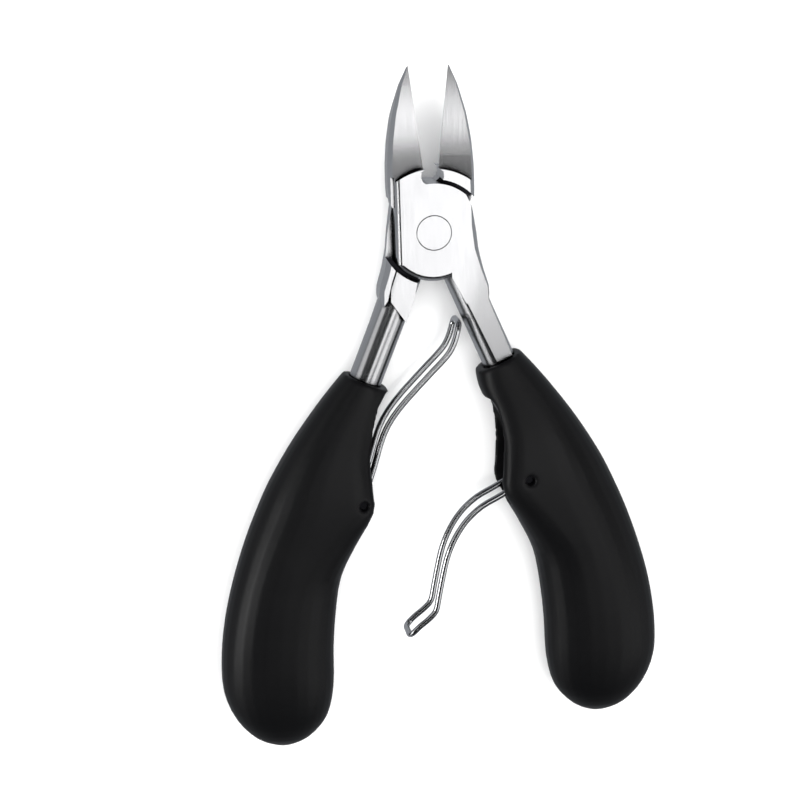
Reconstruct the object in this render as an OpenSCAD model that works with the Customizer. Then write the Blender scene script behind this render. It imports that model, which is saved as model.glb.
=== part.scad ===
// Heavy-duty nail nipper: lap-jointed levers, soft grips and two folding spring-wire arms.
// Millimetres, +Y towards the jaws, +Z out of the front face, origin on the joint's back face.

/* [Joint] */
// Thickness of the head, both laps together
head_t = 9; // [8:0.5:10]
// Radius of each lap about the pivot
lap_r = 9.05; // [8.8:0.05:9.2]
// Space between a lap and the other lever's shoulder
shoulder_gap = 0.8; // [0.6:0.1:1]
// Clearance between the two sliding lap faces
lap_gap = 0.08; // [0.04:0.02:0.12]
// Diameter of the pivot rivet
rivet_d = 6.45; // [5.5:0.05:6.6]
// Diametral running clearance of the front lever on the rivet
rivet_fit = 0.1; // [0.06:0.02:0.16]

/* [Jaws] */
// Distance from the pivot to the tip of each jaw
jaw_reach = 30.8; // [28:0.2:31]
// Angle of each cutting edge from the closed position, at rest
half_open = 6.8; // [6:0.1:7]
// Air left between the cutting edges when the jaws are shut
edge_gap = 0.1; // [0.06:0.02:0.2]
// Height of the cutting edges above the middle of the head
edge_z = 2.1; // [1.5:0.1:2.5]
// Slope of the ground front bevel
front_bevel = 17; // [14:1:20]
// Slope of the ground back bevel
back_bevel = 40; // [36:1:42]
// Radius of the polished edge along the side of each lap
lap_round = 1.3; // [0.8:0.1:1.5]
// Radius about the pivot at which the bevels end in a step
bevel_r = 11.7; // [11.4:0.1:12]

/* [Shafts] */
// Diameter of each round shaft
shaft_d = 6.2; // [5.8:0.1:6.3]
// Slope of the long facet that runs from each lap down its shaft
facet_slope = 5; // [4.8:0.1:5.4]
// Height above the middle of the flat pad on each shaft's other face
pad_h = 3.5; // [3.3:0.1:3.8]
// Angle of each shaft from the middle line, at rest
shaft_angle = 22.6; // [22:0.1:23]
// How much further the rear lever's grip sits from the pivot
rear_extra = 2.8; // [2:0.2:3]

/* [Grips] */
// Half thickness of a grip at its thickest
grip_half_t = 7; // [6.6:0.1:7.4]
// Width across the faces of the slot that an arm folds into
slot_w = 8.6; // [8.4:0.1:9]

/* [Spring arms] */
// Diameter of the spring wire
wire_d = 1.2; // [1:0.1:1.2]
// Distance between the middles of an arm's two legs
leg_spacing = 6.8; // [6.4:0.1:6.8]
// Diameter of the hinge pins
pin_d = 1.75; // [1.5:0.05:1.8]
// Diametral running clearance of an arm's eyes on its pin
pin_fit = 0.1; // [0.06:0.02:0.14]

/* [Hidden] */
$fn = 64;
half_t = head_t / 2;
shoulder_r = lap_r + shoulder_gap;
shaft_r = shaft_d / 2;
far = 60;
// A point on each shaft's middle line, and how far the shaft runs on inside the grip
shaft_at = [9.9, -20.7];
tang_end = 40;
// How far the round bar's axis lies outside that middle line
bar_shift = 0.3;
// Distance along the shaft from that point to the start of its facet, and the facet's edge
facet_from = -11.3;
facet_to = 8;
crease = -1.1;
// Places of the hinge pins in the front and rear lever
front_pin = [16.6, -47.4];
rear_pin = [-14.8, -50.4];
rear_shift = rear_extra * [-sin(shaft_angle), -cos(shaft_angle)];
// Pairs of points across a grip: outer edge, inner edge, half thickness as a share of the full one,
// and how round the inner side is (1 is an ellipse, less is squarer)
grip_pairs = [
    [[16.0, -23.4], [7.7, -27.0], 0.66, 0.85],
    [[19.2, -27.0], [8.3, -30.2], 0.72, 0.75],
    [[23.0, -31.8], [10.2, -34.8], 0.82, 0.6],
    [[27.0, -37.4], [11.5, -39.8], 0.92, 0.45],
    [[31.0, -44.0], [11.5, -45.0], 0.98, 0.35],
    [[33.6, -49.4], [11.5, -49.6], 1.00, 0.35],
    [[36.0, -55.2], [14.6, -55.4], 1.00, 0.55],
    [[38.4, -62.4], [17.8, -62.2], 1.00, 0.8],
    [[40.2, -69.6], [19.1, -69.2], 1.00, 0.85],
    [[41.2, -77.0], [19.8, -76.6], 0.98, 0.85],
    [[41.1, -84.0], [20.1, -84.2], 0.92, 0.85],
    [[39.0, -89.6], [21.6, -90.0], 0.78, 0.85],
    [[35.4, -93.6], [25.0, -93.8], 0.52, 0.85],
    [[31.6, -95.4], [28.6, -95.5], 0.16, 0.85],
];
outer_round = 0.85;
grip_steps = 3;
// Upper walls of the slots, measured from the pins: the tang stays covered, and the left arm needs
// more room, since it folds upwards as the handles close
left_slot_wall = [[-5.2, 20.6], [-3.3, 17.8], [-1.2, 12]];
right_slot_wall = [[-6.6, 15.4], [-4.6, 12], [-1.8, 6]];
grip_sides = 28;
// Middle line of each arm, from its pin to the bend at its tip, measured from the pin
left_arm_line = [
    [0, 0], [2.3, 6.4], [4.4, 12.8], [7.3, 17.4], [12.7, 23.1],
    [16.5, 26.9], [17.8, 28.9], [18.4, 30.4], [18.8, 31.8],
];
right_arm_line = [
    [0, 0], [-4.8, -3.0], [-8.8, -5.1], [-11.9, -7.8], [-14.1, -11.0], [-15.6, -14.4],
    [-16.6, -18.2], [-17.5, -22.4], [-18.1, -25.0], [-19.4, -26.5], [-21.2, -27.9], [-22.2, -28.8],
];
leg_z = leg_spacing / 2;
wire_r = wire_d / 2;
// Radius of the two corners that close an arm at its tip
corner_r = 1.3;
// How far a hinge pin's ends lie below the thickest part of its grip
pin_sunk = 1.6;
eye_d = pin_d + pin_fit + 2 * wire_d;
eye_h = wire_d + 0.16;
wire_sides = 10;

// A point at radius r and angle a
function polar(r, a) = [r * cos(a), r * sin(a)];

// Points along an arc about the pivot
function arc(r, from, to, steps) =
    [for (i = [0:steps]) polar(r, from + (to - from) * i / steps)];

// Catmull-Rom value between b and c at t
function between(a, b, c, d, t) =
    0.5 * (2 * b + (c - a) * t + (2 * a - 5 * b + 4 * c - d) * t * t
        + (3 * b - a - 3 * c + d) * t * t * t);

// Smooth curve through all the points, with the given steps between each two
function smooth(p, steps) = concat(
    [for (i = [0:len(p) - 2], k = [0:steps - 1])
        between(p[max(i - 1, 0)], p[i], p[i + 1], p[min(i + 2, len(p) - 1)], k / steps)],
    [p[len(p) - 1]]
);

// Closed surface over rings of points that all have the same count
module skin(rings) {
    n = len(rings[0]);
    last = len(rings) - 1;
    sides = [for (i = [0:last - 1], j = [0:n - 1])
        [i * n + j, (i + 1) * n + j, (i + 1) * n + (j + 1) % n, i * n + (j + 1) % n]];
    caps = [[for (j = [0:n - 1]) j], [for (j = [n - 1:-1:0]) last * n + j]];
    polyhedron([for (ring = rings, p = ring) p], concat(sides, caps));
}

// Outline of the front lever's jaw, up to its step
function jaw_line() = concat(
    [[-7.0, 4.6], [-7.4, 4.8]],
    smooth([
        [-7.7, 5.4], [-7.95, 8], [-7.95, 12], [-7.6, 16.5], [-6.8, 21.4], [-5.3, 26.8],
    ], 5),
    [polar(jaw_reach, 90 + half_open) - [edge_gap / 2, 0]],
    [polar(bevel_r, 90 + half_open) - [edge_gap / 2, 0]],
    [[-2.0, 11.2], [-2.1, 10.2], [-1.8, 9.4], [-1.2, 8.95]]
);

// Outer edge of the front lever beside the joint, down to the notch where its shaft starts
function neck_line() = smooth([
    [7.1, 4.5], [7.6, 2.1], [8.1, -0.5], [8.35, -3.1], [8.8, -5.7], [9.4, -8.0],
    [10.05, -10.2], [10.2, -12.0], [9.8, -13.4],
], 2);

// Lap side of the front lever: jaw, lap and the wide start of the facet
module lap_outline() {
    polygon(concat(
        jaw_line(),
        arc(lap_r, 95, 48, 8),
        neck_line(),
        [shaft_point(crease, facet_from + 3)],
        arc(lap_r, -70, -141, 12)
    ));
}

// Other side of the front lever: jaw, and the shoulder beside the other lever's lap
module shoulder_outline() {
    polygon(concat(
        jaw_line(),
        neck_line(),
        [[8.9, -12.2], [8.1, -9.0], [7.2, -6.4], [0, 0]]
    ));
}

// Place of a point given across the shaft, outwards, and along it
function shaft_point(across, along) = shaft_at
    + across * [cos(shaft_angle), sin(shaft_angle)] + along * [sin(shaft_angle), -cos(shaft_angle)];

// Puts X across the shaft, outwards, Y up and Z along the shaft, away from the head
module along_shaft() {
    translate([shaft_at.x, shaft_at.y, 0])
        rotate([0, 0, shaft_angle])
            rotate([90, 0, 0])
                children();
}

// Round bar along the shaft, from the head to inside the grip
module shaft_bar(length) {
    along_shaft()
        translate([bar_shift, 0, -15.5])
            cylinder(r = shaft_r, h = length);
}

// Ridge on the shaft that carries the facet on the given face
module facet_ridge(face) {
    translate([0, 0, face > 0 ? 0 : -half_t])
        linear_extrude(half_t)
            polygon([
                shaft_point(crease, facet_from - 1.5), shaft_point(crease + 0.9, facet_to),
                shaft_point(2.7, facet_to), shaft_point(3.0, facet_from - 1.5),
            ]);
}

// Everything above the facet's sloping plane, down to the facet's end inside the grip
module facet_cut(face) {
    along_shaft()
        translate([0, face * half_t, facet_from])
            rotate([facet_slope * face, 0, 0])
                rotate([0, 0, -7 * face])
                    translate([-far / 2, face > 0 ? 0 : -far, -far / 2])
                        cube([far, far, far / 2 + facet_to - facet_from]);
}

// Flat pad that ends in a point across the shaft, on the given face
module shoulder_pad(face) {
    translate([0, 0, face > 0 ? 0 : -pad_h])
        linear_extrude(pad_h)
            polygon([
                [6.6, -6.1], [8.1, -10.3], [8.2, -12.6], [5.5, -16.6], [3.9, -12.4], [3.2, -9.2],
            ]);
}

// Round form that the outer sides of the head and jaws follow, turned about the long axis
module forged_round() {
    rotate([-90, 0, 0])
        rotate_extrude($fn = 96)
            polygon([
                [0, -15], [10.6, -15], [10.5, -10.5], [9.6, -7.5], [8.7, -3.5], [8.3, 1],
                [8.2, 12], [7.85, 16.5], [7.05, 21.4], [5.6, 26.8], [4.1, 30.6], [0, 31.4],
            ]);
}

// What the polishing takes off an edge: the corner outside a quarter circle, at the given face
module edge_corner(face) {
    difference() {
        translate([0, face > 0 ? 0 : -2 * lap_round])
            square(2 * lap_round);
        circle(lap_round + 0.04);
    }
}

// Rounds a lap's straight side and the arc below it, as far as the shaft
module lap_side_round(face) {
    height = face * (half_t - lap_round);
    translate([lap_round - 7, 10.4, height])
        rotate([90, 0, 0])
            linear_extrude(16.1)
                mirror([1, 0])
                    edge_corner(face);
    intersection() {
        rotate_extrude($fn = 128)
            translate([lap_r - lap_round, height])
                edge_corner(face);
        translate([-far, -far, -far])
            cube([far + 3.1, far - 5.7, 2 * far]);
    }
}

// A lever's shaft with its facet on one face
module shaft(face, length) {
    difference() {
        union() {
            shaft_bar(length);
            facet_ridge(face);
        }
        facet_cut(face);
    }
}

// Wedge that a bevel takes off the jaw, outside the step's radius
module bevel_cut(slope, face) {
    difference() {
        rotate([0, 0, half_open])
            translate([0, 0, edge_z])
                rotate([0, slope * face, 0])
                    translate([-far / 2, 0, face > 0 ? 0 : -far])
                        cube([far, far, far]);
        translate([0, 0, -far / 2])
            cylinder(r = bevel_r, h = far, $fn = 128);
    }
}

// One lever, with its lap on the front (1) or the back (-1) half of the head
module lever(face, length) {
    difference() {
        union() {
            intersection() {
                union() {
                    translate([0, 0, face > 0 ? 0 : -half_t])
                        linear_extrude(half_t)
                            lap_outline();
                    translate([0, 0, face > 0 ? -half_t : 0])
                        linear_extrude(half_t)
                            shoulder_outline();
                }
                forged_round();
            }
            shaft(face, length);
            shoulder_pad(-face);
        }
        translate([0, 0, face > 0 ? -far + lap_gap / 2 : -lap_gap / 2])
            cylinder(r = shoulder_r, h = far, $fn = 128);
        translate([0, 0, -far])
            cylinder(d = rivet_d + (face > 0 ? rivet_fit : 0), h = 2 * far);
        facet_cut(face);
        lap_side_round(face);
        bevel_cut(front_bevel, 1);
        bevel_cut(back_bevel, -1);
    }
}

module front_lever() {
    color("gainsboro")
        translate([0, 0, half_t])
            lever(1, tang_end);
}

module rear_lever() {
    color("silver")
        translate([0, 0, half_t])
            mirror([1, 0, 0])
                lever(-1, tang_end + rear_extra);
}

module pivot_rivet() {
    color("whitesmoke")
        cylinder(d = rivet_d, h = head_t);
}

// Cross-section ring of a grip between its outer and inner edge
function grip_ring(outer, inner, thick, inner_round) =
    let (middle = (outer + inner) / 2, reach = (outer - inner) / 2)
    [for (j = [0:grip_sides - 1])
        let (a = 360 * j / grip_sides, u = cos(a), v = sin(a))
        let (e = u < 0 ? inner_round : outer_round)
        let (across = sign(u) * pow(abs(u), e), up = sign(v) * pow(abs(v), e))
        [middle.x + reach.x * across, middle.y + reach.y * across, thick * grip_half_t * up]];

// The pairs with their values in one flat list each, so that one curve runs through them all
function flat_pairs() = [for (p = grip_pairs) [p[0].x, p[0].y, p[1].x, p[1].y, p[2], p[3]]];

module grip_body() {
    rings = [for (f = smooth(flat_pairs(), grip_steps))
        grip_ring([f[0], f[1]], [f[2], f[3]], f[4], f[5])];
    skin(rings);
}

// Slot for a folded arm: deepest at its pin, open along the inner edge, with its upper wall given
module slot(pin, wall) {
    translate([0, 0, -slot_w / 2])
        linear_extrude(slot_w)
            polygon(concat(
                [pin + [2.4, 1.6], pin + [2.4, -1.6], pin + [0.8, -3.4], pin + [-3, -5]],
                [pin + [-12, -4], pin + [-14, wall[0].y]],
                [for (w = wall) pin + w]
            ));
}

module grip(pin, shift, face, wall) {
    difference() {
        translate([shift.x, shift.y, 0])
            grip_body();
        slot(pin, wall);
        shaft(face, far);
        translate([pin.x, pin.y, -far / 2])
            cylinder(d = pin_d, h = far);
    }
}

module right_grip() {
    color([0.08, 0.08, 0.09])
        translate([0, 0, half_t])
            grip(front_pin, [0, 0], 1, right_slot_wall);
}

module left_grip() {
    color([0.08, 0.08, 0.09])
        translate([0, 0, half_t])
            mirror([1, 0, 0])
                grip([-rear_pin.x, rear_pin.y], [-rear_shift.x, rear_shift.y], -1, left_slot_wall);
}

// Direction of a line at one of its points
function heading(line, i) =
    let (d = line[min(i + 1, len(line) - 1)] - line[max(i - 1, 0)])
    d / norm(d);

// Ring of the wire's surface about a point, with one side axis in the plane and the other across
function wire_ring(at, side, across) =
    [for (j = [0:wire_sides - 1])
        let (a = 360 * j / wire_sides)
        at + wire_r * (cos(a) * side + sin(a) * across)];

// One leg's rings on the given face, along the middle line
function leg_rings(line, face) =
    [for (i = [0:len(line) - 1])
        let (d = heading(line, i))
        wire_ring([line[i].x, line[i].y, face * leg_z], [-d.y, d.x, 0], [0, 0, face])];

// Rings round the two corners and the cross bar that join the legs at the tip
function tip_rings(line) =
    let (end = line[len(line) - 1], d = heading(line, len(line) - 1))
    [for (side = [1, -1], k = [1:4])
        let (a = side > 0 ? 22.5 * k : 22.5 * (5 - k))
        let (ahead = corner_r * sin(a), z = side * (leg_z - corner_r * (1 - cos(a))))
        let (across = [d.x * sin(a), d.y * sin(a), side * cos(a)])
        wire_ring([end.x + d.x * ahead, end.y + d.y * ahead, z], [-d.y, d.x, 0], across)];

// Hairpin of spring wire: an eye and a leg on each face, joined across the tip
module spring_arm(line, pin) {
    path = smooth(line, 3);
    back = leg_rings(path, -1);
    rings = concat(leg_rings(path, 1), tip_rings(path), [for (i = [len(back) - 1:-1:0]) back[i]]);
    translate([pin.x, pin.y, 0])
        difference() {
            union() {
                skin(rings);
                for (z = [leg_z, -leg_z])
                    translate([0, 0, z - eye_h / 2])
                        cylinder(d = eye_d, h = eye_h);
            }
            translate([0, 0, -far])
                cylinder(d = pin_d + pin_fit, h = 2 * far);
        }
}

module left_spring_arm() {
    color("lightsteelblue")
        translate([0, 0, half_t])
            spring_arm(left_arm_line, rear_pin);
}

module right_spring_arm() {
    color("lightsteelblue")
        translate([0, 0, half_t])
            spring_arm(right_arm_line, front_pin);
}

// Hinge pin across a grip, its ends a little below the grip's faces
module hinge_pin(at) {
    translate([at.x, at.y, half_t - grip_half_t + pin_sunk])
        cylinder(d = pin_d, h = 2 * (grip_half_t - pin_sunk));
}

module left_spring_pin() {
    color("dimgray")
        hinge_pin(rear_pin);
}

module right_spring_pin() {
    color("dimgray")
        hinge_pin(front_pin);
}

front_lever();
rear_lever();
pivot_rivet();
left_grip();
right_grip();
left_spring_arm();
right_spring_arm();
left_spring_pin();
right_spring_pin();
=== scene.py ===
import math

import bpy
from mathutils import Matrix, Vector


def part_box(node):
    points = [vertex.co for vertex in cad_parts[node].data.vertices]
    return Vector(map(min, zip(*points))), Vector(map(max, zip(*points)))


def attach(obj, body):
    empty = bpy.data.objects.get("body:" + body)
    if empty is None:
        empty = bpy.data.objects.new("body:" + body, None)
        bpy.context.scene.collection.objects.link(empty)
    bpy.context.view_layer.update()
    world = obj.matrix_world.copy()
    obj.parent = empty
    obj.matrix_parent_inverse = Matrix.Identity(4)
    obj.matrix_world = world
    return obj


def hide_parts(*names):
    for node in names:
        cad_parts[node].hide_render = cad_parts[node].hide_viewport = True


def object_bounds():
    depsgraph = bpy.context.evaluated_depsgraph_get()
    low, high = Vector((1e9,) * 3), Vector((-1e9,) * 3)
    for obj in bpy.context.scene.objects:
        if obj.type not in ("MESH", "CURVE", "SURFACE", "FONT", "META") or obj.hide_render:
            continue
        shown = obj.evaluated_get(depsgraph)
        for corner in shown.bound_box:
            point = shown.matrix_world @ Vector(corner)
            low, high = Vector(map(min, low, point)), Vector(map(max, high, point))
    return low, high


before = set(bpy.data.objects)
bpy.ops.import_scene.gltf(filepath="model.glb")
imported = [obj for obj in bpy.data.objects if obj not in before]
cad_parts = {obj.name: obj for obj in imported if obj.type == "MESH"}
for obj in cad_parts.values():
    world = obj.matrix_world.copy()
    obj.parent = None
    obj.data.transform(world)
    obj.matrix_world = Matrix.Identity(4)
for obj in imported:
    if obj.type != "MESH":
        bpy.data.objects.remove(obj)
cad_box = [list(corner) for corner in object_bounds()]

# ---------------------------------------------------------------------------------------------
# Levers. Two drop-forged stainless steel halves, lapped at the joint, ground on the jaws and
# polished all over. Their edges are broken by the polishing wheel, so each is slightly round.
# ---------------------------------------------------------------------------------------------
MM = 0.001


def srgb(code):
    """The linear colour of an sRGB hex value."""
    parts = [int(code[i:i + 2], 16) / 255 for i in (1, 3, 5)]
    return [c / 12.92 if c <= 0.04045 else ((c + 0.055) / 1.055) ** 2.4 for c in parts] + [1]


def new_material(name):
    """An empty node material, with its shader."""
    material = bpy.data.materials.new(name)
    material.use_nodes = True
    return material, material.node_tree.nodes["Principled BSDF"]


def add(material, kind, settings=None, links=None):
    """Adds one node: settings by property or socket name, links by socket name to a node and the
    name of its output."""
    tree = material.node_tree
    node = tree.nodes.new(kind)
    for name, value in (settings or {}).items():
        if name in node.inputs:
            node.inputs[name].default_value = value
        else:
            setattr(node, name, value)
    for name, (source, output) in (links or {}).items():
        tree.links.new(source.outputs[output], node.inputs[name])
    return node


def finish_shader(material, shader, tone, gloss, relief):
    """Leads the colour, roughness and relief nodes into the shader."""
    lead = material.node_tree.links.new
    lead(tone.outputs["Result"], shader.inputs["Base Color"])
    lead(gloss.outputs["Result"], shader.inputs["Roughness"])
    lead(relief.outputs["Normal"], shader.inputs["Normal"])


def wear(obj, material):
    """Gives a CAD node or a piece one material on every slot."""
    if not obj.material_slots:
        obj.data.materials.append(material)
    for place in obj.material_slots:
        place.material = material


def polished_steel():
    """Forged stainless steel, wheel polished: near white, with faint drawn-out polishing lines,
    and painted shade in the corners of the joint.
    """
    material, shader = new_material("polished_stainless_steel")
    shader.inputs["Metallic"].default_value = 1
    spots = add(material, "ShaderNodeTexCoord")
    # Polishing lines are about 0.05 mm apart; 0.25 mm is the finest that still shows.
    line_gap, line_length = 0.25 * MM, 6 * MM
    stretch = add(material, "ShaderNodeMapping",
                  {"Scale": (1 / line_gap, 1 / line_length, 1 / line_gap)},
                  {"Vector": (spots, "Object")})
    lines = add(material, "ShaderNodeTexNoise", {"Scale": 1, "Detail": 2},
                {"Vector": (stretch, "Vector")})
    # Passes of the wheel leave the tone a little uneven, every 9 mm or so.
    haze = add(material, "ShaderNodeTexNoise", {"Scale": 1 / (9 * MM), "Detail": 3},
               {"Vector": (spots, "Object")})
    steel_tone = add(material, "ShaderNodeMix",
                     {"data_type": "RGBA", "A": srgb("#C2C2C4"), "B": srgb("#CDCDCE")},
                     {"Factor": (haze, "Fac")})
    # Painted shade: where ambient occlusion finds the steel hemmed in, as in the corners of the
    # joint, its colour is taken down to near black.
    corners = add(material, "ShaderNodeAmbientOcclusion", {"Distance": 2.5 * MM, "samples": 8})
    painted_shade_mask = add(material, "ShaderNodeMapRange", {"From Min": 0.5, "From Max": 0.8},
                {"Value": (corners, "AO")})
    tone = add(material, "ShaderNodeMix", {"data_type": "RGBA", "A": srgb("#17171A")},
               {"Factor": (painted_shade_mask, "Result"), "B": (steel_tone, "Result")})
    gloss = add(material, "ShaderNodeMapRange", {"To Min": 0.17, "To Max": 0.25},
                {"Value": (lines, "Fac")})
    grooves = add(material, "ShaderNodeBump", {"Strength": 0.04, "Distance": 0.02 * MM},
                  {"Height": (lines, "Fac")})
    finish_shader(material, shader, tone, gloss, grooves)
    return material


# Corners of the CAD mesh closer than this are one corner
same_corner = 0.002 * MM


def copy_of(node, name):
    """A merged copy of a CAD node's mesh, as a new object at the origin."""
    bpy.ops.object.select_all(action="DESELECT")
    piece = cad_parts[node].copy()
    piece.data = piece.data.copy()
    piece.name = name
    piece.parent = None
    bpy.context.scene.collection.objects.link(piece)
    piece.select_set(True)
    bpy.context.view_layer.objects.active = piece
    piece.data.materials.clear()
    bpy.ops.object.mode_set(mode="EDIT")
    bpy.ops.mesh.select_all(action="SELECT")
    bpy.ops.mesh.remove_doubles(threshold=same_corner)
    bpy.ops.object.mode_set(mode="OBJECT")
    return piece


def apply_to(piece, kind, **settings):
    """Adds one modifier to the active piece and applies it."""
    step = piece.modifiers.new("step", kind)
    for name, value in settings.items():
        setattr(step, name, value)
    bpy.ops.object.modifier_apply(modifier=step.name)


# Least cosine between a face's normal and a slope for the face to count as having it
same_slope = 0.9995


def reshape(piece, slopes, across, places, share, height):
    """Cuts the flat faces of the given slopes at places along a direction, then lifts their
    corners along Z by a share of the height that depends on the place."""
    def facing():
        return [p for p in piece.data.polygons
                if any(p.normal.dot(Vector(slope)) > same_slope for slope in slopes)]

    across = Vector(across).normalized()
    for place in places:
        piece.data.polygons.foreach_set("select", [False] * len(piece.data.polygons))
        for polygon in facing():
            polygon.select = True
        bpy.ops.object.mode_set(mode="EDIT")
        bpy.ops.mesh.bisect(plane_co=across * place, plane_no=across)
        bpy.ops.mesh.select_all(action="DESELECT")
        bpy.ops.object.mode_set(mode="OBJECT")
    group = piece.vertex_groups.new(name="lifted")
    for corner in sorted({v for polygon in facing() for v in polygon.vertices}):
        along = piece.data.vertices[corner].co.dot(across)
        group.add([corner], share(along), "REPLACE")
    apply_to(piece, "DISPLACE", direction="Z", mid_level=0, strength=height, vertex_group="lifted")
    piece.vertex_groups.clear()


# The crown, a half wave along each jaw's front face: where it starts, how long and high it is,
# and the places along Y where the face is cut across to carry it
crown_root = 8.8 * MM
crown_length = 21.6 * MM
crown_height = 0.3 * MM
crown_cuts = [(13.9 + 1.85 * i) * MM for i in range(8)]

# The break between a lap's face and its shaft's facet: its distance from the pivot's axis, how
# far the blend reaches to each side, how deep it goes and where the faces are cut to carry it
break_line = 7.7 * MM
break_reach = 3.2 * MM
break_depth = 0.12 * MM
break_cuts = [(4.5 + 0.8 * i) * MM for i in range(9)]

# Most that two faces turn and still make one flat, and one smooth surface; least that they turn
# at an edge that the wheel breaks, and the steps that draw the round it leaves
one_flat = math.radians(0.5)
smooth_turn = math.radians(25)
sharp_turn = math.radians(28)
steps_round_edge = 3


def crowned(place):
    """Share of the crown's height at a place along a ground jaw face."""
    return max(0, math.sin(math.pi * (place - crown_root) / crown_length))


def blended(place):
    """Share of the depth taken off at a place on either side of the break."""
    return max(0, 1 - abs(place - break_line) / break_reach) ** 2


steel = polished_steel()
for name, body, face in (("front", "front_half", 1), ("rear", "rear_half", -1)):
    lever = copy_of(name + "_lever", name + "_forging")
    apply_to(lever, "DECIMATE", decimate_type="DISSOLVE", angle_limit=one_flat)
    # The jaw's front face is ground with a slight crown lengthways
    jaw_face = (0.29 * face, 0.035, 0.956)
    reshape(lever, [jaw_face], across=(0, 1, 0), places=crown_cuts, share=crowned,
            height=crown_height)
    # The polishing wheel blends the lap's face into the facet
    lap_face = (0, 0, face)
    facet = (0.146 * face, -0.033, 0.989 * face)
    reshape(lever, [lap_face, facet], across=(0.975 * face, -0.22, 0), places=break_cuts,
            share=blended, height=-break_depth * face)
    bpy.ops.object.shade_smooth_by_angle(angle=smooth_turn)
    apply_to(lever, "BEVEL", width=0.18 * MM, segments=steps_round_edge, limit_method="ANGLE",
             angle_limit=sharp_turn)
    apply_to(lever, "WEIGHTED_NORMAL", keep_sharp=True)
    wear(lever, steel)
    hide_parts(name + "_lever")
    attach(lever, body)

# ---------------------------------------------------------------------------------------------
# Pivot rivet. A stainless steel rivet, closed and then ground flush with both faces, so only a
# hairline ring shows.
# ---------------------------------------------------------------------------------------------


def break_edges(obj, width):
    """Live modifiers on a CAD node: its loose triangles are joined, and its edges rounded."""
    weld = obj.modifiers.new("joined", "WELD")
    weld.merge_threshold = same_corner
    flats = obj.modifiers.new("flats", "DECIMATE")
    flats.decimate_type = "DISSOLVE"
    flats.angle_limit = one_flat
    rounds = obj.modifiers.new("rounds", "BEVEL")
    rounds.width = width
    rounds.segments = steps_round_edge
    rounds.limit_method = "ANGLE"
    rounds.angle_limit = sharp_turn
    rounds.harden_normals = True


wear(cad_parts["pivot_rivet"], steel)
break_edges(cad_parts["pivot_rivet"], width=0.14 * MM)

# ---------------------------------------------------------------------------------------------
# Grips. Thermoplastic rubber, moulded over the tangs of the levers so that it needs no fastener.
# The mould is etched, which gives the rubber a satin skin.
# ---------------------------------------------------------------------------------------------


def grip_rubber():
    """Moulded thermoplastic rubber: deep black, satin, with the fine grain of an etched mould."""
    material, shader = new_material("moulded_black_rubber")
    shader.inputs["Specular IOR Level"].default_value = 0.25
    spots = add(material, "ShaderNodeTexCoord")
    # The mould's grain is about 0.1 mm; 0.3 mm is the finest that still shows.
    grain = add(material, "ShaderNodeTexNoise", {"Scale": 1 / (0.3 * MM), "Detail": 2},
                {"Vector": (spots, "Object")})
    # Hands rub it in patches about 14 mm across.
    rubbed = add(material, "ShaderNodeTexNoise", {"Scale": 1 / (14 * MM), "Detail": 4},
                 {"Vector": (spots, "Object")})
    tone = add(material, "ShaderNodeMix",
               {"data_type": "RGBA", "A": srgb("#050506"), "B": srgb("#0A0A0B")},
               {"Factor": (rubbed, "Fac")})
    gloss = add(material, "ShaderNodeMapRange", {"To Min": 0.36, "To Max": 0.46},
                {"Value": (rubbed, "Fac")})
    skin = add(material, "ShaderNodeBump", {"Strength": 0.08, "Distance": 0.02 * MM},
               {"Height": (grain, "Fac")})
    finish_shader(material, shader, tone, gloss, skin)
    return material


def smoothed(piece, voxel, passes):
    """Turns a merged copy into one even skin and relaxes it, as a moulding or drawn wire is."""
    apply_to(piece, "REMESH", mode="VOXEL", voxel_size=voxel)
    apply_to(piece, "SMOOTH", factor=0.5, iterations=passes)
    bpy.ops.object.shade_smooth()
    return piece


rubber = grip_rubber()
for side, body in (("left", "rear_half"), ("right", "front_half")):
    grip = smoothed(copy_of(side + "_grip", side + "_moulded_grip"), voxel=0.35 * MM, passes=6)
    wear(grip, rubber)
    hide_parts(side + "_grip")
    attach(grip, body)

# ---------------------------------------------------------------------------------------------
# Spring arms. Bright drawn spring wire, bent to a hairpin that closes across its tip, with an
# eye on each leg that turns on the hinge pin in the grip.
# ---------------------------------------------------------------------------------------------


def drawn_wire():
    """Hard drawn spring wire: bright, with the lengthways marks of the die."""
    material, shader = new_material("drawn_spring_wire")
    shader.inputs["Metallic"].default_value = 1
    spots = add(material, "ShaderNodeTexCoord")
    # Die marks are about 0.03 mm apart; 0.2 mm is the finest that still shows.
    mark_gap, mark_length = 0.2 * MM, 3 * MM
    stretch = add(material, "ShaderNodeMapping",
                  {"Scale": (1 / mark_gap, 1 / mark_length, 1 / mark_gap)},
                  {"Vector": (spots, "Object")})
    marks = add(material, "ShaderNodeTexNoise", {"Scale": 1, "Detail": 2},
                {"Vector": (stretch, "Vector")})
    tone = add(material, "ShaderNodeMix",
               {"data_type": "RGBA", "A": srgb("#BEBFC2"), "B": srgb("#CFCFD0")},
               {"Factor": (marks, "Fac")})
    gloss = add(material, "ShaderNodeMapRange", {"To Min": 0.1, "To Max": 0.18},
                {"Value": (marks, "Fac")})
    scored = add(material, "ShaderNodeBump", {"Strength": 0.03, "Distance": 0.02 * MM},
                 {"Height": (marks, "Fac")})
    finish_shader(material, shader, tone, gloss, scored)
    return material


wire = drawn_wire()
for side in ("left", "right"):
    arm = smoothed(copy_of(side + "_spring_arm", side + "_wire_arm"), voxel=0.12 * MM, passes=4)
    wear(arm, wire)
    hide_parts(side + "_spring_arm")
    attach(arm, side + "_arm")

# ---------------------------------------------------------------------------------------------
# Hinge pins. Short steel pins with a black oxide finish, driven through each grip and through
# the eyes of its spring arm. Their ends lie a little below the grip's faces.
# ---------------------------------------------------------------------------------------------


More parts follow.
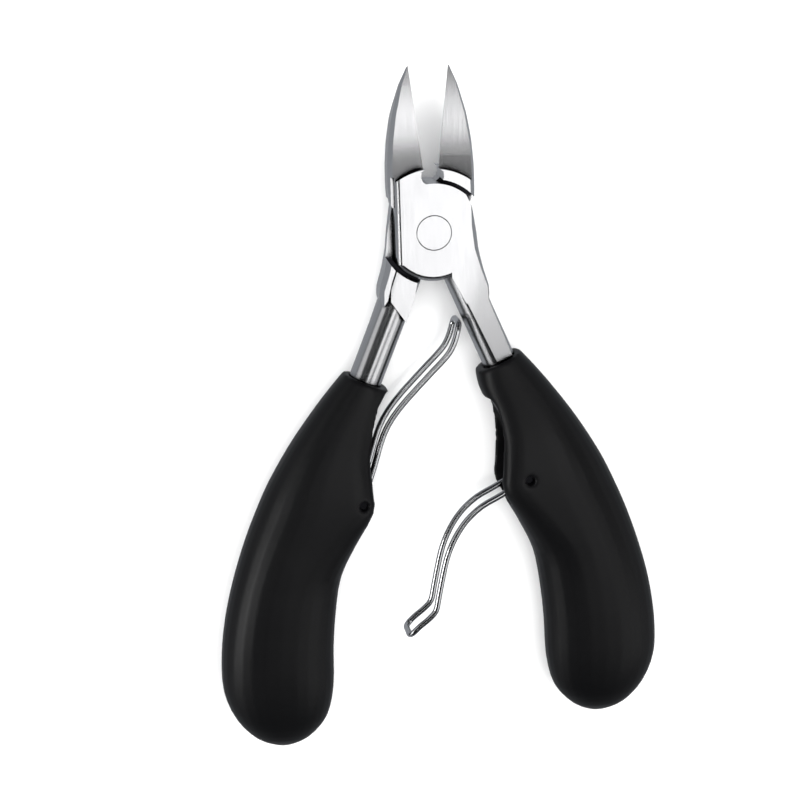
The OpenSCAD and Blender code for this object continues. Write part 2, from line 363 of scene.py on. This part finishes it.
def black_steel():
    """Steel with a black oxide finish, rubbed a little on the high spots."""
    material, shader = new_material("black_oxide_steel")
    shader.inputs["Metallic"].default_value = 1
    spots = add(material, "ShaderNodeTexCoord")
    # The oxide takes unevenly, in patches under a millimetre.
    patches = add(material, "ShaderNodeTexNoise", {"Scale": 1 / (0.8 * MM), "Detail": 3},
                  {"Vector": (spots, "Object")})
    tone = add(material, "ShaderNodeMix",
               {"data_type": "RGBA", "A": srgb("#17171A"), "B": srgb("#2B2B2E")},
               {"Factor": (patches, "Fac")})
    gloss = add(material, "ShaderNodeMapRange", {"To Min": 0.3, "To Max": 0.5},
                {"Value": (patches, "Fac")})
    rough = add(material, "ShaderNodeBump", {"Strength": 0.1, "Distance": 0.02 * MM},
                {"Height": (patches, "Fac")})
    finish_shader(material, shader, tone, gloss, rough)
    return material


blackened = black_steel()
for side in ("left", "right"):
    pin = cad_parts[side + "_spring_pin"]
    wear(pin, blackened)
    break_edges(pin, width=0.15 * MM)

# ---------------------------------------------------------------------------------------------
# Floor. A wide sheet of matt white paper just under the object, which the steel doesn't mirror,
# so that its sides stay grey against it.
# ---------------------------------------------------------------------------------------------
low, high = (Vector(corner) for corner in cad_box)
middle = (low + high) / 2
floor_gap = 0.02 * MM
bpy.ops.object.select_all(action="DESELECT")
bpy.ops.mesh.primitive_plane_add(size=6, location=(0, 0, low.z - floor_gap))
floor = bpy.context.object
floor.name = "floor"
paper, paper_shader = new_material("matt_white_paper")
paper_shader.inputs["Base Color"].default_value = srgb("#F6F6F6")
paper_shader.inputs["Roughness"].default_value = 0.9
wear(floor, paper)
floor.visible_glossy = False

# ---------------------------------------------------------------------------------------------
# Light. A studio that is dark above, so that the steel shows black bands, and grey from the
# level down, with soft boxes placed where each face of the steel mirrors one to the camera.
# ---------------------------------------------------------------------------------------------
world = bpy.data.worlds.new("studio")
world.use_nodes = True
tree = world.node_tree
heading = tree.nodes.new("ShaderNodeTexCoord")
height = tree.nodes.new("ShaderNodeSeparateXYZ")
shade = tree.nodes.new("ShaderNodeMapRange")
for socket, value in (("From Min", -0.2), ("From Max", 0.5), ("To Min", 0.45), ("To Max", 0.02)):
    shade.inputs[socket].default_value = value
tree.links.new(heading.outputs["Generated"], height.inputs["Vector"])
tree.links.new(height.outputs["Z"], shade.inputs["Value"])
tree.links.new(shade.outputs["Result"], tree.nodes["Background"].inputs["Strength"])
tree.nodes["Background"].inputs["Color"].default_value = srgb("#E8ECF2")
bpy.context.scene.world = world


def softbox(name, spot, towards, away, size, glow):
    """A rectangular area light in a direction from a spot on the object, facing it, its first
    size across the object; a glow of 1 shows as white."""
    bpy.ops.object.select_all(action="DESELECT")
    bpy.ops.object.light_add(type="AREA")
    lamp = bpy.context.object
    lamp.name = name
    side = Vector(towards).normalized()
    lamp.location = spot + side * away
    across = (Vector((1, 0, 0)) - side * side.x).normalized()
    lamp.rotation_euler = Matrix((across, side.cross(across), side)).transposed().to_euler()
    lamp.data.shape = "RECTANGLE"
    lamp.data.size, lamp.data.size_y = size
    lamp.data.energy = glow * math.pi * size[0] * size[1]
    lamp.visible_camera = False
    return lamp


# Distances of the boxes: those that light the whole object, the grip's and the jaws'
far, by_grip, by_jaws = 0.9, 0.2, 0.15

# Overhead box that the flat polished faces mirror to the camera
softbox("overhead_box", middle, (0.27, -0.1, 0.955), far, (0.49, 0.27), glow=2.1)
# Small boxes close by for the two jaw bevels, so that each crown shades off to both ends
jaw_middle = high.y - 10.5 * MM
left_jaw = Vector((-5.5 * MM, jaw_middle, 7.5 * MM))
right_jaw = Vector((5 * MM, jaw_middle, 7.5 * MM))
softbox("left_bevel_box", left_jaw, (0.651, -0.02, 0.757), by_jaws, (0.04, 0.03), glow=2.1)
softbox("right_bevel_box", right_jaw, (-0.427, -0.02, 0.903), by_jaws, (0.03, 0.03), glow=2.1)
# Box for the highlight down the round bars
softbox("bar_box", middle, (0.64, -0.4, 0.655), far, (0.52, 0.28), glow=1.5)
# Dim boxes at both sides, which the round bars, edges and grips catch
softbox("left_box", middle, (-0.87, 0, 0.42), far, (0.45, 1.5), glow=0.75)
softbox("right_box", middle, (0.9, 0, 0.3), far, (0.35, 1.2), glow=0.5)
# Long box close to the grips for the soft highlight down their outer third
grip_low, grip_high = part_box("left_grip")
left_palm = (grip_low + grip_high) / 2 + Vector((0.587, -2.965, 0.5)) * MM
softbox("grip_box", left_palm, (-0.8, -0.1, 0.585), by_grip, (0.05, 0.1), glow=7)
# Wide box for the floor alone, kept out of the reflections as a grid would keep it
floor_box = softbox("floor_box", middle, (0, 0.2, 0.97), away=1, size=(1.6, 1.6), glow=3.4)
floor_box.visible_glossy = False

# ---------------------------------------------------------------------------------------------
# Camera. A long lens above the object, a little to its left and towards the jaws, aimed a
# little to the left of the object's middle.
# ---------------------------------------------------------------------------------------------
tilt, turn, roll = (math.radians(angle) for angle in (13.24, 6.68, 3.37))
distance = 461 * MM
film_width = 36
lens = 111.15
aim = middle + Vector((-6.162, 1.976, 0)) * MM
stand = (Matrix.Rotation(-tilt, 4, "X") @ Matrix.Rotation(-turn, 4, "Y")
         @ Matrix.Rotation(-roll, 4, "Z"))
bpy.ops.object.camera_add(location=aim + stand @ Vector((0, 0, distance)))
camera = bpy.context.object
camera.rotation_euler = stand.to_euler()
camera.data.sensor_width = film_width
camera.data.lens = lens
camera.data.clip_start = 10 * MM
bpy.context.scene.camera = camera
bpy.context.scene.view_settings.view_transform = "Standard"
